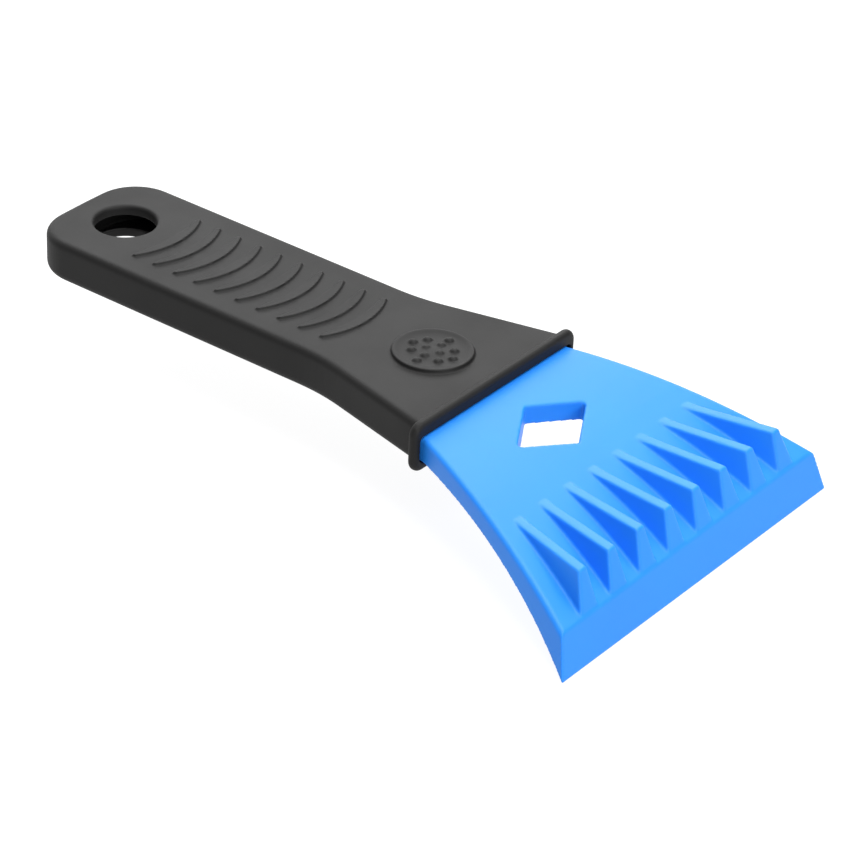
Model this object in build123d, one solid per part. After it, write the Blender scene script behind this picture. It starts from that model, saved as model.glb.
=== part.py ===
from build123d import *

import math
import os

# Windshield ice scraper: a blue moulded blade whose tang is held in a dark elastomer grip sleeve.
#
# Lengths are millimetres. In the design frame x grows from the tail of the grip to the cutting edge,
# y = 0 is the plane of symmetry, and z = 0 is the flat top of the grip. Each piece is moved once, on
# export, so that the origin is the middle of the whole object's box, at its bottom.

# Overall stations along x
TAIL_X = -1.2             # middle of the tail
EDGE_X = 184.7            # cutting edge
MOUTH_X = 126.9           # blade side face of the sleeve's lip

# Grip sleeve
GRIP_THICK = 10.6
GRIP_HALF_W = 18.9
TAIL_CORNER_R = 11.5
TAIL_CROWN = 0.6          # how far the tail bulges at its middle
FLARE_X = 90.0            # where the parallel grip starts to widen
FLARE_BLEND_R = 55.0
GRIP_MOUTH_HALF_W = 27.8
GRIP_TOP_EDGE_R = 1.8
GRIP_BOTTOM_EDGE_R = 2.3
WALL_TOP = 2.6
WALL_BOTTOM = 2.4
WALL_SIDE = 2.4
CAVITY_TAIL_X = 2.1

# Lip bead round the mouth
LIP_LENGTH = 2.6
LIP_HALF_W = 30.0
LIP_PROUD = 0.9
LIP_CORNER_R = 3.0
LIP_EDGE_R = 1.25
LIP_RECESS_DEPTH = 2.2
LIP_RECESS_HALF_W = 28.2

# Hanging hole
HOLE_X = 13.7
HOLE_R = 7.6
HOLE_TOP_RIM_R = 1.0
HOLE_LOW_RIM_R = 0.6
DISH_R = 12.1             # shallow dish round the hole, in the underside
DISH_DEPTH = 2.0
DISH_FLOOR_R = 8.9
DISH_INSET = 0.9          # how much narrower the raised skin is inside the cavity

# Crescent grip ridges
RIDGE_COUNT = 10
RIDGE_PITCH = 6.4
RIDGE_FIRST_X = 27.5      # where the first ridge's two ends lie
RIDGE_HALF_CHORD = 11.85
RIDGE_BULGE = 3.3
RIDGE_MID_W = 3.2
RIDGE_END_W = 1.0
RIDGE_RAMP = 3.3          # length of the slope that rises to the step
RIDGE_HEIGHT = 0.62
RIDGE_END_R = 0.4

# Thumb pad
PAD_X = 108.1
PAD_R = 9.6
PAD_HEIGHT = 0.95
PAD_RIM_R = 0.4
PAD_LIP_W = 1.1           # rounded rim that stands above the dished middle
PAD_LIP_DROP = 0.15
PAD_DISH = 0.05
PIP_R = 1.0
PIP_HEIGHT = 0.45
PIP_STEP_X = 1.93
PIP_STEP_Y = 3.0
# Pips in steps from the pad's centre: an inner ring of four inside an outer ring of eight
PIP_PLACES = [(1, 0), (-1, 0), (0, 1), (0, -1)]
PIP_PLACES += [(3, 0), (-3, 0), (0, 2), (0, -2)]
PIP_PLACES += [(2, 1), (2, -1), (-2, 1), (-2, -1)]

# Blade plate
BLADE_ROOT_HALF_W = 27.4
BLADE_EDGE_HALF_W = 46.9  # at the height of the grip's top; the drafted sides are wider lower down
BLADE_SIDE_BOW = -0.6
SIDE_DRAFT = 0.16         # outward run per mm of depth at the cutting edge
PLAN_DEPTH = 34.0
ROOT_TOP_Z = -2.8
ROOT_BOTTOM_Z = -8.9
MID_X = 155.3
MID_TOP_Z = -8.4
MID_BOTTOM_Z = -13.8
FACET_TOP_X = 181.9
FACET_TOP_Z = -18.9
EDGE_Z = -29.4
TOP_EDGE_R = 1.2

# Recess under the blade
SKIRT_WIDTH = 3.2
WEB_THICK = 4.7
RECESS_FROM_X = 132.0
RECESS_TO_X = 167.0

# Diamond window
DIAMOND_X = 142.3
DIAMOND_HALF_X = 8.1       # at the height of the grip's top; the window narrows downwards
DIAMOND_HALF_Y = 13.8
DIAMOND_CORNER_R = 0.9
DIAMOND_RIM_R = 0.4
DIAMOND_DRAFT = 4.0       # degrees

# Ice-breaking ribs
RIB_COUNT = 8
RIB_PITCH = 10.7          # at the front end of the ridge line
RIB_FAN_X = 33.0          # where the fanned ribs' centre lines would all meet
RIB_TOP_W = 2.8
RIB_DRAFT = 0.195
RIB_BACK_X = 153.0
RIB_BACK_Z = -8.6
RIB_FRONT_X = 178.3
RIB_FRONT_Z = -9.6
RIB_FACE_LEAN = 0.345     # forward run of a rib's front face per mm of fall
RIB_EDGE_R = 0.45

# Tang inside the sleeve
TANG_TAIL_X = 26.0
TANG_SIDE_GAP = 0.2
TANG_RAIL = 3.0
TANG_WEB = 2.0
TANG_RIB = 2.0
TANG_RIB_PITCH = 16.0

TANG_TOP_Z = -WALL_TOP
TANG_BOTTOM_Z = WALL_BOTTOM - GRIP_THICK
TANG_SHOULDER_X = MOUTH_X - LIP_RECESS_DEPTH
FAR = 200.0               # longer than anything that it cuts


def mirrored(points):
    """Closes a half outline, given tail to mouth at +y, with its mirror image at -y."""
    return points + [(x, -y) for x, y in reversed(points)]


def slab(outline, top, bottom):
    """Extrudes a plan outline between two heights."""
    return Pos(0, 0, bottom) * extrude(outline, top - bottom)


def profile(wire_edges, half_width):
    """Extrudes a side profile, drawn in x and z, to both sides of the symmetry plane."""
    face = make_face(Plane.XZ * wire_edges)
    return extrude(face, half_width, both=True)


def grip_outline(inset=0.0, tail_x=TAIL_X, mouth_x=MOUTH_X):
    """Plan of the grip: rounded tail, parallel sides and a flare, all moved in by the inset."""
    slope = (GRIP_MOUTH_HALF_W - GRIP_HALF_W) / (MOUTH_X - FLARE_X)
    half = GRIP_HALF_W - inset
    mouth_half = half + slope * (mouth_x - FLARE_X)
    points = mirrored([(tail_x + TAIL_CROWN, half), (FLARE_X, half), (mouth_x, mouth_half)])
    face = make_face(Polyline(*points) + ThreePointArc(points[-1], (tail_x, 0), points[0]))
    tail_corners = face.vertices().sort_by(Axis.X)[0:2]
    face = fillet(tail_corners, max(TAIL_CORNER_R - inset, 2.0))
    flare_corners = [v for v in face.vertices() if abs(v.X - FLARE_X) < 0.01]
    return fillet(flare_corners, FLARE_BLEND_R + inset)


def skin_rim(body, height):
    """The edges round the flat skin at a height, apart from the one across the mouth."""
    edges = [e for e in body.edges() if abs(e.center().Z - height) < 0.01]
    return [e for e in edges if e.center().X < MOUTH_X - LIP_LENGTH]


def lip_bead():
    """The thick bead round the sleeve's mouth."""
    height = GRIP_THICK + 2 * LIP_PROUD
    place = Pos(MOUTH_X - LIP_LENGTH / 2, 0, -GRIP_THICK / 2)
    bead = place * Box(LIP_LENGTH, 2 * LIP_HALF_W, height)
    bead = fillet(bead.edges().filter_by(Axis.X), LIP_CORNER_R)
    ends = bead.faces().filter_by(Plane.YZ).edges()
    return fillet(ends, LIP_EDGE_R)


def crescent(end_x):
    """One crescent: a slope that rises towards the blade and ends in a curved step."""
    half = RIDGE_HALF_CHORD
    crest_x = end_x + RIDGE_BULGE
    step = ThreePointArc((end_x, -half), (crest_x, 0), (end_x, half))
    back_x = end_x - RIDGE_END_W
    back = ThreePointArc((back_x, half), (crest_x - RIDGE_MID_W, 0), (back_x, -half))
    ends = Line((end_x, half), (back_x, half)) + Line((back_x, -half), (end_x, -half))
    face = make_face(step + back + ends)
    ridge = slab(fillet(face.vertices(), RIDGE_END_R), RIDGE_HEIGHT, -0.3)
    step_r = (half**2 + RIDGE_BULGE**2) / (2 * RIDGE_BULGE)
    slope = Cone(step_r - RIDGE_RAMP, step_r + RIDGE_RAMP, 2 * RIDGE_HEIGHT)
    return ridge - Pos(crest_x - step_r, 0, RIDGE_HEIGHT) * slope


def thumb_pad():
    """The round raised pad, dished inside a rounded rim, with its staggered pips."""
    shoulder = PAD_HEIGHT - PAD_RIM_R
    rim_r = PAD_R - PAD_RIM_R
    floor_r = PAD_R - PAD_LIP_W
    floor_z = PAD_HEIGHT - PAD_LIP_DROP
    middle_z = floor_z - PAD_DISH
    slant = PAD_RIM_R * math.cos(math.pi / 4)
    side = Polyline((0, -0.3), (PAD_R, -0.3), (PAD_R, shoulder))
    rim = ThreePointArc((PAD_R, shoulder), (rim_r + slant, shoulder + slant), (rim_r, PAD_HEIGHT))
    fall = Spline(
        (rim_r, PAD_HEIGHT), (floor_r, floor_z), (0, middle_z), tangents=[(-1, 0, 0), (-1, 0, 0)]
    )
    axis = Line((0, middle_z), (0, -0.3))
    pad = revolve(make_face(Plane.XZ * (side + rim + fall + axis)), Axis.Z, 360)
    dome_r = (PIP_R**2 + PIP_HEIGHT**2) / (2 * PIP_HEIGHT)
    for step_x, step_y in PIP_PLACES:
        x = step_x * PIP_STEP_X
        y = step_y * PIP_STEP_Y
        surface_z = middle_z + PAD_DISH * (x**2 + y**2) / floor_r**2
        dome = Sphere(dome_r) & Pos(0, 0, dome_r) * Box(FAR, FAR, 2 * PIP_HEIGHT + 0.6)
        pad += Pos(x, y, surface_z + PIP_HEIGHT - dome_r) * dome
    return Pos(PAD_X, 0, 0) * pad


def hole_dish(inset=0.0):
    """The shallow cone that dishes the underside round the hanging hole."""
    cone = Cone(DISH_R - inset, DISH_FLOOR_R - inset, DISH_DEPTH)
    return Pos(HOLE_X, 0, DISH_DEPTH / 2 - GRIP_THICK) * cone


def grip_sleeve():
    """The elastomer sleeve: a flat hollow shell with a lip, a hanging hole, ridges and a pad."""
    body = slab(grip_outline(mouth_x=MOUTH_X - LIP_LENGTH / 2), 0, -GRIP_THICK)
    body = fillet(skin_rim(body, 0), GRIP_TOP_EDGE_R)
    body = fillet(skin_rim(body, -GRIP_THICK), GRIP_BOTTOM_EDGE_R)
    body += lip_bead()

    cavity = slab(grip_outline(WALL_SIDE, CAVITY_TAIL_X, MOUTH_X), TANG_TOP_Z, TANG_BOTTOM_Z)
    recess_top = ROOT_TOP_Z + 0.3
    recess_bottom = ROOT_BOTTOM_Z - 0.3
    recess = Pos(MOUTH_X, 0, (recess_top + recess_bottom) / 2) * Box(
        2 * LIP_RECESS_DEPTH, 2 * LIP_RECESS_HALF_W, recess_top - recess_bottom
    )
    recess = fillet(recess.edges().filter_by(Axis.X), 1.2)
    body -= cavity
    body -= recess

    body += Pos(0, 0, WALL_BOTTOM) * hole_dish(DISH_INSET)
    body -= hole_dish()
    hole = Pos(HOLE_X, 0, -GRIP_THICK / 2) * Cylinder(HOLE_R, 2 * GRIP_THICK)
    body -= hole
    circles = [e for e in body.edges().filter_by(GeomType.CIRCLE) if abs(e.radius - HOLE_R) < 0.01]
    body = fillet(ShapeList(circles).sort_by(Axis.Z)[-1], HOLE_TOP_RIM_R)
    circles = [e for e in body.edges().filter_by(GeomType.CIRCLE) if abs(e.radius - HOLE_R) < 0.01]
    body = fillet(ShapeList(circles).sort_by(Axis.Z)[0], HOLE_LOW_RIM_R)

    for number in range(RIDGE_COUNT):
        body += crescent(RIDGE_FIRST_X + number * RIDGE_PITCH)
    body += thumb_pad()
    return body


def facet_x(z):
    """Where the leaning front plane of the blade is, at a height."""
    lean = (EDGE_X - FACET_TOP_X) / (FACET_TOP_Z - EDGE_Z)
    return EDGE_X - lean * (z - EDGE_Z)


def blade_plan(depth):
    """Plan of the blade at a depth below the grip's top; its sides spread with depth."""
    edge_half = BLADE_EDGE_HALF_W + SIDE_DRAFT * depth
    slope = (edge_half - BLADE_ROOT_HALF_W) / (EDGE_X - MOUTH_X)
    front_x = facet_x(-depth)
    front_half = edge_half + slope * (front_x - EDGE_X)
    root_half = BLADE_ROOT_HALF_W
    middle_half = BLADE_ROOT_HALF_W + slope * (MID_X - MOUTH_X) - BLADE_SIDE_BOW
    side = ThreePointArc((MOUTH_X, root_half), (MID_X, middle_half), (front_x, front_half))
    front = Line((front_x, front_half), (front_x, -front_half))
    other = ThreePointArc((front_x, -front_half), (MID_X, -middle_half), (MOUTH_X, -root_half))
    back = Polyline(
        (MOUTH_X, -root_half),
        (TANG_SHOULDER_X, -root_half),
        (TANG_SHOULDER_X, root_half),
        (MOUTH_X, root_half),
    )
    return make_face(side + front + other + back)


def on_circle(first, second, third, x):
    """Height at x of the downward-bending circle through three points of a side profile."""
    (ax, az), (bx, bz), (cx, cz) = first, second, third
    turn = 2 * (ax * (bz - cz) + bx * (cz - az) + cx * (az - bz))
    a2, b2, c2 = ax**2 + az**2, bx**2 + bz**2, cx**2 + cz**2
    centre_x = (a2 * (bz - cz) + b2 * (cz - az) + c2 * (az - bz)) / turn
    centre_z = (a2 * (cx - bx) + b2 * (ax - cx) + c2 * (bx - ax)) / turn
    radius = math.hypot(ax - centre_x, az - centre_z)
    return centre_z + math.sqrt(radius**2 - (x - centre_x) ** 2)


def top_z(x):
    """Height of the blade's top surface."""
    return on_circle((MOUTH_X, ROOT_TOP_Z), (MID_X, MID_TOP_Z), (FACET_TOP_X, FACET_TOP_Z), x)


def bottom_z(x):
    """Height of the blade's underside."""
    return on_circle((MOUTH_X, ROOT_BOTTOM_Z), (MID_X, MID_BOTTOM_Z), (EDGE_X, EDGE_Z), x)


def blade_plate():
    """The curved plate with its wedge-shaped front, before the window and ribs."""
    plan = loft([blade_plan(0), Pos(0, 0, -PLAN_DEPTH) * blade_plan(PLAN_DEPTH)], ruled=True)
    past = EDGE_X + 8.0
    top = ThreePointArc((MOUTH_X, ROOT_TOP_Z), (MID_X, MID_TOP_Z), (past, top_z(past)))
    front = Line((past, top_z(past)), (past, bottom_z(past)))
    bottom = ThreePointArc((past, bottom_z(past)), (MID_X, MID_BOTTOM_Z), (MOUTH_X, ROOT_BOTTOM_Z))
    root_x = TANG_SHOULDER_X - 1.0
    root = Polyline(
        (MOUTH_X, ROOT_BOTTOM_Z),
        (root_x, ROOT_BOTTOM_Z),
        (root_x, ROOT_TOP_Z),
        (MOUTH_X, ROOT_TOP_Z),
    )
    return plan & profile(top + front + bottom + root, FAR / 2)


def underside_recess():
    """The shallow recess that leaves a skirt round the underside of the plate."""
    face = offset(blade_plan(-MID_BOTTOM_Z), -SKIRT_WIDTH)
    plan = slab(face, 0, -FAR / 4)
    roof = ThreePointArc(
        (MOUTH_X, ROOT_TOP_Z - WEB_THICK),
        (MID_X, MID_TOP_Z - WEB_THICK),
        (FACET_TOP_X, FACET_TOP_Z - WEB_THICK),
    )
    under = Polyline(
        (FACET_TOP_X, FACET_TOP_Z - WEB_THICK), (FACET_TOP_X, -FAR / 4), (MOUTH_X, -FAR / 4),
        (MOUTH_X, ROOT_TOP_Z - WEB_THICK),
    )
    middle = (RECESS_FROM_X + RECESS_TO_X) / 2
    span = Pos(middle, 0, 0) * Box(RECESS_TO_X - RECESS_FROM_X, FAR, FAR)
    return plan & profile(roof + under, FAR / 2) & span


def diamond_window():
    """The four-cornered window through the plate."""
    points = [
        (DIAMOND_X - DIAMOND_HALF_X, 0),
        (DIAMOND_X, -DIAMOND_HALF_Y),
        (DIAMOND_X + DIAMOND_HALF_X, 0),
        (DIAMOND_X, DIAMOND_HALF_Y),
    ]
    face = make_face(Polyline(*points, close=True))
    face = fillet(face.vertices(), DIAMOND_CORNER_R)
    return extrude(face, -FAR / 10, taper=DIAMOND_DRAFT)


def breaker_rib(offset_count):
    """One drafted rib, fanned out from a point on the symmetry plane inside the grip."""
    ridge_slope = (RIB_FRONT_Z - RIB_BACK_Z) / (RIB_FRONT_X - RIB_BACK_X)

    def corner(x, z, side):
        ridge_z = RIB_BACK_Z + ridge_slope * (x - RIB_BACK_X)
        middle = offset_count * RIB_PITCH * (x - RIB_FAN_X) / (RIB_FRONT_X - RIB_FAN_X)
        return (x, middle + side * (RIB_TOP_W / 2 + RIB_DRAFT * (ridge_z - z)), z)

    def section(high, low):
        places = [(high, -1), (high, 1), (low, 1), (low, -1)]
        points = [corner(x, z, side) for (x, z), side in places]
        return make_face(Polyline(*points, close=True))

    foot_z = FACET_TOP_Z - 1.9
    foot_x = RIB_FRONT_X + RIB_FACE_LEAN * (RIB_FRONT_Z - foot_z)
    back = section((RIB_BACK_X, RIB_BACK_Z), (RIB_BACK_X, RIB_BACK_Z - 2.5))
    front = section((RIB_FRONT_X, RIB_FRONT_Z), (foot_x, foot_z))
    rib = loft([back, front], ruled=True)
    top_edges = rib.faces().sort_by(Axis.Z)[-1].edges()
    front_edges = rib.faces().sort_by(Axis.X)[-1].edges()
    kept = [e for e in top_edges if e.center().X > RIB_BACK_X + 0.1]
    kept += [e for e in front_edges if e.center().Z > foot_z + 0.1 and e not in kept]
    return fillet(ShapeList(kept), RIB_EDGE_R)


def tang():
    """The ribbed tongue that the sleeve is pulled over."""
    outline = grip_outline(WALL_SIDE + TANG_SIDE_GAP, TANG_TAIL_X, TANG_SHOULDER_X)
    core = slab(outline, TANG_TOP_Z, TANG_BOTTOM_Z)
    depth = (TANG_TOP_Z - TANG_BOTTOM_Z - TANG_WEB) / 2
    pocket_plan = offset(outline, -TANG_RAIL)
    cross_x = TANG_TAIL_X + TANG_RIB_PITCH
    while cross_x < TANG_SHOULDER_X - TANG_RIB_PITCH / 2:
        pocket_plan -= Pos(cross_x, 0) * Rectangle(TANG_RIB, FAR)
        cross_x += TANG_RIB_PITCH
    pocket_plan -= Pos(FAR / 2, 0) * Rectangle(FAR, TANG_RIB)
    core -= slab(pocket_plan, TANG_TOP_Z, TANG_TOP_Z - depth)
    core -= slab(pocket_plan, TANG_BOTTOM_Z + depth, TANG_BOTTOM_Z)
    return core


def is_rim(edge):
    """Whether an edge of the upper surface runs round the outside, not across the plate's root."""
    across = abs(edge.center().Y) < 0.1
    return not (across and edge.center().X < MOUTH_X + 0.1)


def is_window_rim(edge):
    """Whether an edge is on the window's upper rim."""
    middle = edge.center()
    near = abs(middle.X - DIAMOND_X) < DIAMOND_HALF_X and abs(middle.Y) < DIAMOND_HALF_Y
    return near and middle.Z > top_z(middle.X) - 1.0


def build_blade():
    """The whole blue moulding: plate, recess, window, ribs and tang."""
    plate = blade_plate()
    upward = [f for f in plate.faces() if f.normal_at(f.center()).Z > 0.7]
    rims = [e for f in upward for e in f.edges() if is_rim(e)]
    plate = fillet(rims, TOP_EDGE_R)
    plate -= underside_recess()
    plate -= diamond_window()
    plate = fillet([e for e in plate.edges() if is_window_rim(e)], DIAMOND_RIM_R)
    for number in range(RIB_COUNT):
        plate += breaker_rib(number - (RIB_COUNT - 1) / 2)
    plate += tang()
    return plate


SHIFT = Pos(-(TAIL_X + EDGE_X) / 2, 0, -EDGE_Z)


def main():
    os.makedirs("parts", exist_ok=True)
    sleeve = grip_sleeve()
    blade = build_blade()
    export_step(SHIFT * sleeve, "parts/grip_sleeve.step")
    export_step(SHIFT * blade, "parts/blade.step")


main()
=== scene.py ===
import math

import bpy
from mathutils import Matrix, Vector


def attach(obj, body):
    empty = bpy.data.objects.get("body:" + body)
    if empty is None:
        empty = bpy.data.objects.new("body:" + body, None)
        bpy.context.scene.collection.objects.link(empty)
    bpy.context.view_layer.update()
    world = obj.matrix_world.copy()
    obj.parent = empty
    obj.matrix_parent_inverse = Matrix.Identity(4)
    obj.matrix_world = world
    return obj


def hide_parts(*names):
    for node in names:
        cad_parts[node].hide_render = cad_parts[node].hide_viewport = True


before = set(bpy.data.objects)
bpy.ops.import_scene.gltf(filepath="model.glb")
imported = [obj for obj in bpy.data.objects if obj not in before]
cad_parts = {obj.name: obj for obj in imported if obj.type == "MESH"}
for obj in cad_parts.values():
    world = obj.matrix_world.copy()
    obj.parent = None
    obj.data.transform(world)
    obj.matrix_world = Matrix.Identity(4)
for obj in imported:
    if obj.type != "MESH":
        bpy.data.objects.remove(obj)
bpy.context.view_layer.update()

# Windshield ice scraper, in metres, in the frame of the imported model: +X from the grip to the
# cutting edge, +Z up, z = 0 on the floor that the cutting edge touches.

SCENE = bpy.context.scene
MM = 0.001

# Camera: azimuth, elevation and roll in degrees, aimed at a point, at a distance
CAMERA_AZIMUTH = 36.643
CAMERA_ELEVATION = 31.575
CAMERA_ROLL = 2.569
CAMERA_AIM = Vector((0.00873, 0.01207, -0.00121))
CAMERA_DISTANCE = 0.8534
CAMERA_LENS_MM = 149.85
CAMERA_SENSOR_MM = 36.0
CAMERA_CLIP = (0.05, 20.0)

# Soft boxes that face the origin: name, place, width and height, watts
LIGHTS = [
    ("light_top", (0.05, 0.18, 1.15), (1.5, 1.2), 26.0),
    ("light_back", (-0.80, 1.00, 0.72), (1.7, 0.8), 15.0),
    ("light_left", (-1.40, 0.25, 0.45), (0.9, 0.5), 3.0),
    ("light_front", (1.30, -0.45, 0.55), (0.9, 0.6), 11.0),
]
WORLD_COLOUR = (0.97, 0.98, 1.0, 1.0)
WORLD_STRENGTH = 0.4

# Colours, as the two ends of a faint cloudy pattern
BLUE_DEEP = (0.015, 0.196, 0.70, 1)
BLUE_PALE = (0.017, 0.206, 0.72, 1)
DARK_DEEP = (0.0072, 0.0070, 0.0068, 1)
DARK_PALE = (0.0088, 0.0086, 0.0084, 1)
PLASTIC_IOR = 1.5

# Softening: voxel size, smoothing passes
BLADE_SOFTENING = (0.3 * MM, 5)
SLEEVE_SOFTENING = (0.25 * MM, 2)
MOST_TRIANGLES = 190000

FLOOR_HALF = 3.0
FLOOR_COLOUR = (0.16, 0.16, 0.16, 1)
FLOOR_GLOW = 0.92             # the floor's own light keeps the shadow on it faint


# ---- Camera and light ----

def place_camera():
    """The camera of the main view."""
    azimuth = math.radians(CAMERA_AZIMUTH)
    elevation = math.radians(CAMERA_ELEVATION)
    roll = math.radians(CAMERA_ROLL)
    back = Vector((
        math.sin(azimuth) * math.cos(elevation),
        -math.cos(azimuth) * math.cos(elevation),
        math.sin(elevation),
    ))
    level = Vector((math.cos(azimuth), math.sin(azimuth), 0.0))
    upright = back.cross(level)
    right = math.cos(roll) * level + math.sin(roll) * upright
    up = -math.sin(roll) * level + math.cos(roll) * upright
    data = bpy.data.cameras.new("camera")
    data.lens = CAMERA_LENS_MM
    data.sensor_width = CAMERA_SENSOR_MM
    data.clip_start, data.clip_end = CAMERA_CLIP
    camera = bpy.data.objects.new("camera", data)
    SCENE.collection.objects.link(camera)
    turn = Matrix((right, up, back)).transposed().to_4x4()
    camera.matrix_world = Matrix.Translation(CAMERA_AIM + CAMERA_DISTANCE * back) @ turn
    SCENE.camera = camera


def softbox(name, place, size, watts):
    """A rectangular area light that faces the origin."""
    data = bpy.data.lights.new(name, "AREA")
    data.shape = "RECTANGLE"
    data.size, data.size_y = size
    data.energy = watts
    lamp = bpy.data.objects.new(name, data)
    SCENE.collection.objects.link(lamp)
    lamp.location = place
    lamp.rotation_mode = "QUATERNION"
    lamp.rotation_quaternion = (-Vector(place)).to_track_quat("-Z", "Y")


def light_the_studio():
    """The soft boxes and the even light from all round."""
    for name, place, size, watts in LIGHTS:
        softbox(name, place, size, watts)
    world = bpy.data.worlds.new("studio")
    SCENE.world = world
    world.use_nodes = True
    background = world.node_tree.nodes["Background"]
    background.inputs["Color"].default_value = WORLD_COLOUR
    background.inputs["Strength"].default_value = WORLD_STRENGTH
    SCENE.view_settings.view_transform = "Standard"


# ---- Materials ----

def graph(name):
    """A new material with its node tree's three handles: nodes, links and shader."""
    material = bpy.data.materials.new(name)
    material.use_nodes = True
    tree = material.node_tree
    return material, tree.nodes, tree.links, tree.nodes["Principled BSDF"]


def noise(nodes, links, coordinates, scale, detail, roughness=0.5):
    """A noise texture in metres; its Fac output is returned."""
    node = nodes.new("ShaderNodeTexNoise")
    node.inputs["Scale"].default_value = scale
    node.inputs["Detail"].default_value = detail
    node.inputs["Roughness"].default_value = roughness
    links.new(coordinates, node.inputs["Vector"])
    return node.outputs["Fac"]


def blend(nodes, links, factor, low, high):
    """A colour ramp between two colours, over the middle of a noise's range."""
    node = nodes.new("ShaderNodeValToRGB")
    first, last = node.color_ramp.elements
    first.position, first.color = 0.3, low
    last.position, last.color = 0.7, high
    links.new(factor, node.inputs["Fac"])
    return node.outputs["Color"]


def spread(nodes, links, factor, low, high):
    """Maps the middle of a noise's range to a range of numbers."""
    node = nodes.new("ShaderNodeMapRange")
    node.inputs["From Min"].default_value = 0.3
    node.inputs["From Max"].default_value = 0.7
    node.inputs["To Min"].default_value = low
    node.inputs["To Max"].default_value = high
    links.new(factor, node.inputs["Value"])
    return node.outputs["Result"]


def bump(nodes, links, height, distance, strength):
    """Bump from a height; its normal is returned."""
    node = nodes.new("ShaderNodeBump")
    node.inputs["Distance"].default_value = distance
    node.inputs["Strength"].default_value = strength
    links.new(height, node.inputs["Height"])
    return node.outputs["Normal"]


def blue_plastic():
    """Hard blue plastic: half gloss, slightly milky."""
    material, nodes, links, shader = graph("blue_plastic")
    place = nodes.new("ShaderNodeTexCoord").outputs["Object"]
    clouds = noise(nodes, links, place, 38.0, 3.0)
    grain = noise(nodes, links, place, 2600.0, 3.0, 0.6)
    links.new(blend(nodes, links, clouds, BLUE_DEEP, BLUE_PALE), shader.inputs["Base Color"])
    links.new(spread(nodes, links, clouds, 0.36, 0.44), shader.inputs["Roughness"])
    links.new(bump(nodes, links, grain, 0.02 * MM, 0.25), shader.inputs["Normal"])
    shader.inputs["IOR"].default_value = PLASTIC_IOR
    shader.inputs["Specular IOR Level"].default_value = 0.24
    shader.inputs["Subsurface Weight"].default_value = 0.15
    shader.inputs["Subsurface Radius"].default_value = (0.3, 0.7, 1.0)
    shader.inputs["Subsurface Scale"].default_value = 1.2 * MM
    return material


def dark_elastomer():
    """Soft dark grey elastomer: nearly matt, with a fine grain."""
    material, nodes, links, shader = graph("dark_elastomer")
    place = nodes.new("ShaderNodeTexCoord").outputs["Object"]
    clouds = noise(nodes, links, place, 55.0, 4.0)
    grain = noise(nodes, links, place, 3200.0, 4.0, 0.65)
    links.new(blend(nodes, links, clouds, DARK_DEEP, DARK_PALE), shader.inputs["Base Color"])
    links.new(spread(nodes, links, clouds, 0.55, 0.63), shader.inputs["Roughness"])
    links.new(bump(nodes, links, grain, 0.04 * MM, 0.35), shader.inputs["Normal"])
    shader.inputs["IOR"].default_value = PLASTIC_IOR
    shader.inputs["Specular IOR Level"].default_value = 0.2
    return material


# ---- Pieces ----

def settle(piece):
    """Applies a piece's modifiers to its mesh."""
    graph_now = bpy.context.evaluated_depsgraph_get()
    mesh = bpy.data.meshes.new_from_object(piece.evaluated_get(graph_now))
    piece.modifiers.clear()
    piece.data = mesh


def softened(node, name, voxel, passes):
    """A copy of a CAD node whose edges and inner corners are rounded, as a mould leaves them."""
    piece = bpy.data.objects.new(name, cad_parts[node].data.copy())
    SCENE.collection.objects.link(piece)
    remesh = piece.modifiers.new("remesh", "REMESH")
    remesh.mode = "VOXEL"
    remesh.voxel_size = voxel
    smooth = piece.modifiers.new("smooth", "SMOOTH")
    smooth.factor = 0.5
    smooth.iterations = passes
    settle(piece)
    thin = piece.modifiers.new("thin", "DECIMATE")
    thin.ratio = min(1.0, MOST_TRIANGLES / (2 * len(piece.data.polygons)))
    settle(piece)
    piece.data.shade_smooth()
    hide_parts(node)
    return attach(piece, "root")


def paint(piece, material):
    """Gives a piece its one material."""
    piece.data.materials.clear()
    piece.data.materials.append(material)


def make_floor():
    """A plain white floor under the cutting edge."""
    half = FLOOR_HALF
    corners = [(-half, -half, 0), (half, -half, 0), (half, half, 0), (-half, half, 0)]
    mesh = bpy.data.meshes.new("floor")
    mesh.from_pydata(corners, [], [(0, 1, 2, 3)])
    floor = bpy.data.objects.new("floor", mesh)
    SCENE.collection.objects.link(floor)
    material, nodes, links, shader = graph("floor_white")
    shader.inputs["Base Color"].default_value = FLOOR_COLOUR
    shader.inputs["Roughness"].default_value = 0.9
    shader.inputs["Specular IOR Level"].default_value = 0.1
    shader.inputs["Emission Color"].default_value = (1.0, 1.0, 1.0, 1)
    shader.inputs["Emission Strength"].default_value = FLOOR_GLOW
    mesh.materials.append(material)


place_camera()
light_the_studio()

blade = softened("blade", "blade_moulding", *BLADE_SOFTENING)
paint(blade, blue_plastic())

sleeve = softened("grip_sleeve", "sleeve_moulding", *SLEEVE_SOFTENING)
paint(sleeve, dark_elastomer())

make_floor()
